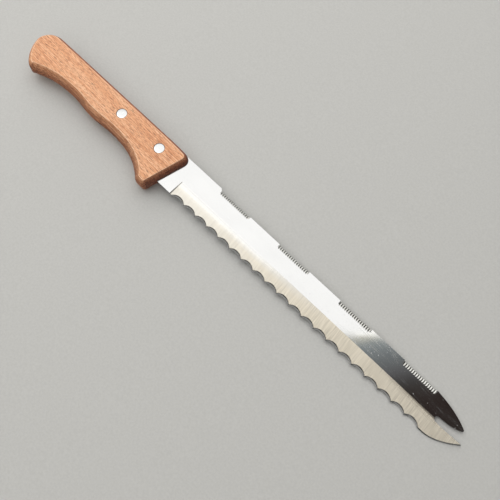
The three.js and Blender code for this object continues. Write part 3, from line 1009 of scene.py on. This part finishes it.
# Flat faces are polished, the thinned face is ground, and everything else is a facet
def paint_blade(blade):
    blade.data.materials.clear()
    saw = facet_material("steel_saw", *SAW_LEVELS)
    # The scallop facets get a darker steel colour as painted shade
    scallops = facet_material("steel_scallops", *SCALLOP_PAINTED_SHADE_LEVELS)
    for material in (polished_material(), ground_material(), saw, scallops):
        blade.data.materials.append(material)
    for face in blade.data.polygons:
        thinned = face.center.y < GRIND_LINE and face.center.z < FACE_Z - GROUND_LEAST_DROP
        level = face.normal.z > GROUND_LEAST_UP and abs(face.normal.x) < GROUND_MOST_TURN
        if thinned and level:
            face.material_index = GROUND
        elif abs(face.normal.z) > FLAT_LEAST_UP:
            face.material_index = POLISHED
        else:
            face.material_index = SAW if face.center.y > 0 else SCALLOPS


blade = make_blade()
paint_blade(blade)
settle(blade, ["blade"], BLADE_SHARP_DEGREES)
triangulate(blade)

handle = make_handle()
handle.data.materials.clear()
handle.data.materials.append(wood_material())
settle(handle, ["handle"], HANDLE_SHARP_DEGREES)

rivet_metal = rivet_material()
for place, x in RIVETS.items():
    socket, pin = make_rivet(place, x)
    for half, node in ((socket, f"rivet_{place}_socket"), (pin, f"rivet_{place}_pin")):
        half.data.materials.append(rivet_metal)
        settle(half, [node], RIVET_SHARP_DEGREES)

# Floor
FLOOR_REACH = 3000.0
FLOOR_GAP = 0.05
FLOOR_DARK = srgb(184, 184, 182)
FLOOR_LIGHT = srgb(191, 191, 189)
FLOOR_ROUGHNESS = 0.7


# The knife leans on the front edge of its handle and on its tip, so the floor meets both
def make_floor():
    front = front_at(SPINE_HEIGHT)
    slope = BACK_Z / (POINT_X - front)
    points = []
    for x, y in ((-1, -1), (1, -1), (1, 1), (-1, 1)):
        points.append((x * FLOOR_REACH, y * FLOOR_REACH, (x * FLOOR_REACH - front) * slope - FLOOR_GAP))
    mesh = bpy.data.meshes.new("floor")
    mesh.from_pydata(points, [], [(0, 1, 2, 3)])
    mesh.transform(Matrix.Scale(MM, 4))
    floor = bpy.data.objects.new("floor", mesh)
    bpy.context.scene.collection.objects.link(floor)
    material, tree, shader = new_material("floor")
    speckle = stretched_noise(tree, (1.2, 1.2, 1.2), detail=2.0, roughness=0.5)
    color = ramp(tree, speckle, [(0.3, FLOOR_DARK), (0.7, FLOOR_LIGHT)])
    tree.links.new(color, shader.inputs["Base Color"])
    shader.inputs["Roughness"].default_value = FLOOR_ROUGHNESS
    floor.data.materials.append(material)


make_floor()


# Level soft panel that shines down, with its sizes in millimetres
def panel(name, centre, width, depth, turn_degrees, radiance):
    lamp = bpy.data.lights.new(name, "AREA")
    lamp.shape = "RECTANGLE"
    lamp.size = width * MM
    lamp.size_y = depth * MM
    lamp.energy = radiance * math.pi * lamp.size * lamp.size_y
    lamp.color = PANEL_COLOR
    obj = bpy.data.objects.new(name, lamp)
    obj.location = Vector(centre) * MM
    turn = Matrix.Rotation(math.radians(turn_degrees), 3, "Z")
    down = Vector((0, 0, -1)).to_track_quat("-Z", "Y").to_matrix()
    obj.rotation_euler = (down @ turn).to_euler()
    bpy.context.scene.collection.objects.link(obj)


# Panels on the side of the spine, by their spans along and across a line that the polished steel mirrors
PANEL_COLOR = (1.0, 0.985, 0.96)
PANEL_LINE = Vector((168.0, 267.0, 1007.0))
PANEL_TURN = 46.3
KEY_PANELS = {
    "key": {"along": (-2500, -900), "across": (0, 2400), "radiance": 0.9},
    "key_near": {"along": (-900, 700), "across": (6, 700), "radiance": 1.8},
    "key_far": {"along": (-900, 700), "across": (700, 1800), "radiance": 0.85},
}

# Panel on the side of the cutting edge
FILL_CENTRE = (-50, -760, 1100)


def make_key_panels():
    turn = math.radians(PANEL_TURN)
    along_line = Vector((math.cos(turn), math.sin(turn), 0.0))
    across_line = Vector((-along_line.y, along_line.x, 0.0))
    for name, spans in KEY_PANELS.items():
        along = spans["along"]
        across = spans["across"]
        centre = PANEL_LINE + along_line * sum(along) / 2 + across_line * sum(across) / 2
        panel(name, centre, along[1] - along[0], across[1] - across[0], PANEL_TURN, spans["radiance"])


make_key_panels()
panel("fill", FILL_CENTRE, width=1800, depth=1880, turn_degrees=0, radiance=0.86)

# Studio that the steel mirrors: colours by how far a direction leans towards SKY_AXIS, from -1 to 1
SKY_AXIS = (0.8, -0.6, 0.0)
SKY_BRIGHT = (1.4, 1.38, 1.30, 1)
SKY_DIM = (0.10, 0.10, 0.10, 1)
SKY_BEHIND_PANEL = (0.08, 0.08, 0.08, 1)
SKY_WARM = (1.65, 1.50, 1.08, 1)
SKY_CREAM = (1.08, 1.02, 0.80, 1)
SKY_BLUE_GREY = (0.43, 0.49, 0.51, 1)
SKY_GREY = (0.34, 0.37, 0.38, 1)
SKY_DARK_GREY = (0.26, 0.28, 0.28, 1)
SKY_DUSK = (0.205, 0.20, 0.205, 1)
SKY_BROWN = (0.095, 0.09, 0.085, 1)
SKY_DARK_BROWN = (0.065, 0.052, 0.046, 1)
SKY_DEEP_BROWN = (0.045, 0.030, 0.026, 1)
SKY_DARKEST = (0.035, 0.024, 0.020, 1)
SKY_FRONT = (0.20, 0.20, 0.19, 1)
SKY_SHADE = (0.08, 0.08, 0.08, 1)
SKY_FAR = (0.40, 0.40, 0.39, 1)
SKY = [
    (-1.0, SKY_BRIGHT),
    (-0.80, SKY_BRIGHT),
    (-0.60, SKY_DIM),
    (-0.177, SKY_BEHIND_PANEL),
    (-0.1755, SKY_WARM),
    (-0.172, SKY_CREAM),
    (-0.167, SKY_BLUE_GREY),
    (-0.151, SKY_GREY),
    (-0.136, SKY_DARK_GREY),
    (-0.120, SKY_DUSK),
    (-0.105, SKY_BROWN),
    (-0.089, SKY_DARK_BROWN),
    (-0.065, SKY_DEEP_BROWN),
    (-0.03, SKY_DARKEST),
    (0.03, SKY_FRONT),
    (0.3, SKY_FRONT),
    (0.5, SKY_SHADE),
    (0.65, SKY_SHADE),
    (0.8, SKY_FAR),
    (1.0, SKY_FAR),
]


def make_studio():
    world = bpy.data.worlds.new("studio")
    world.use_nodes = True
    bpy.context.scene.world = world
    tree = world.node_tree
    background = tree.nodes["Background"]
    direction = add_node(tree, "ShaderNodeTexCoord")
    lean = add_node(tree, "ShaderNodeVectorMath", operation="DOT_PRODUCT")
    tree.links.new(direction.outputs["Generated"], lean.inputs[0])
    lean.inputs[1].default_value = SKY_AXIS
    share = remap(tree, lean.outputs["Value"], (-1, 1), (0.0, 1.0))
    sky = ramp(tree, share, [((place + 1) / 2, color) for place, color in SKY])
    tree.links.new(sky, background.inputs["Color"])
    background.inputs["Strength"].default_value = 1.0


make_studio()


# Camera where the photo was taken from: lens and sensor in millimetres, place in metres, turns in degrees
CAMERA_LENS = 50.4
SENSOR_WIDTH = 36.0
NEAREST_SEEN = 0.01
CAMERA_PLACE = (0.19774, -0.10574, 0.40903)
CAMERA_TURNS = (18.7566, -0.44805, 44.6465)


def make_camera():
    camera_data = bpy.data.cameras.new("camera")
    camera_data.lens = CAMERA_LENS
    camera_data.sensor_width = SENSOR_WIDTH
    camera_data.clip_start = NEAREST_SEEN
    camera = bpy.data.objects.new("camera", camera_data)
    camera.location = CAMERA_PLACE
    camera.rotation_euler = [math.radians(turn) for turn in CAMERA_TURNS]
    bpy.context.scene.collection.objects.link(camera)
    bpy.context.scene.camera = camera


make_camera()
bpy.context.scene.view_settings.view_transform = "Standard"

bpy.context.view_layer.update()
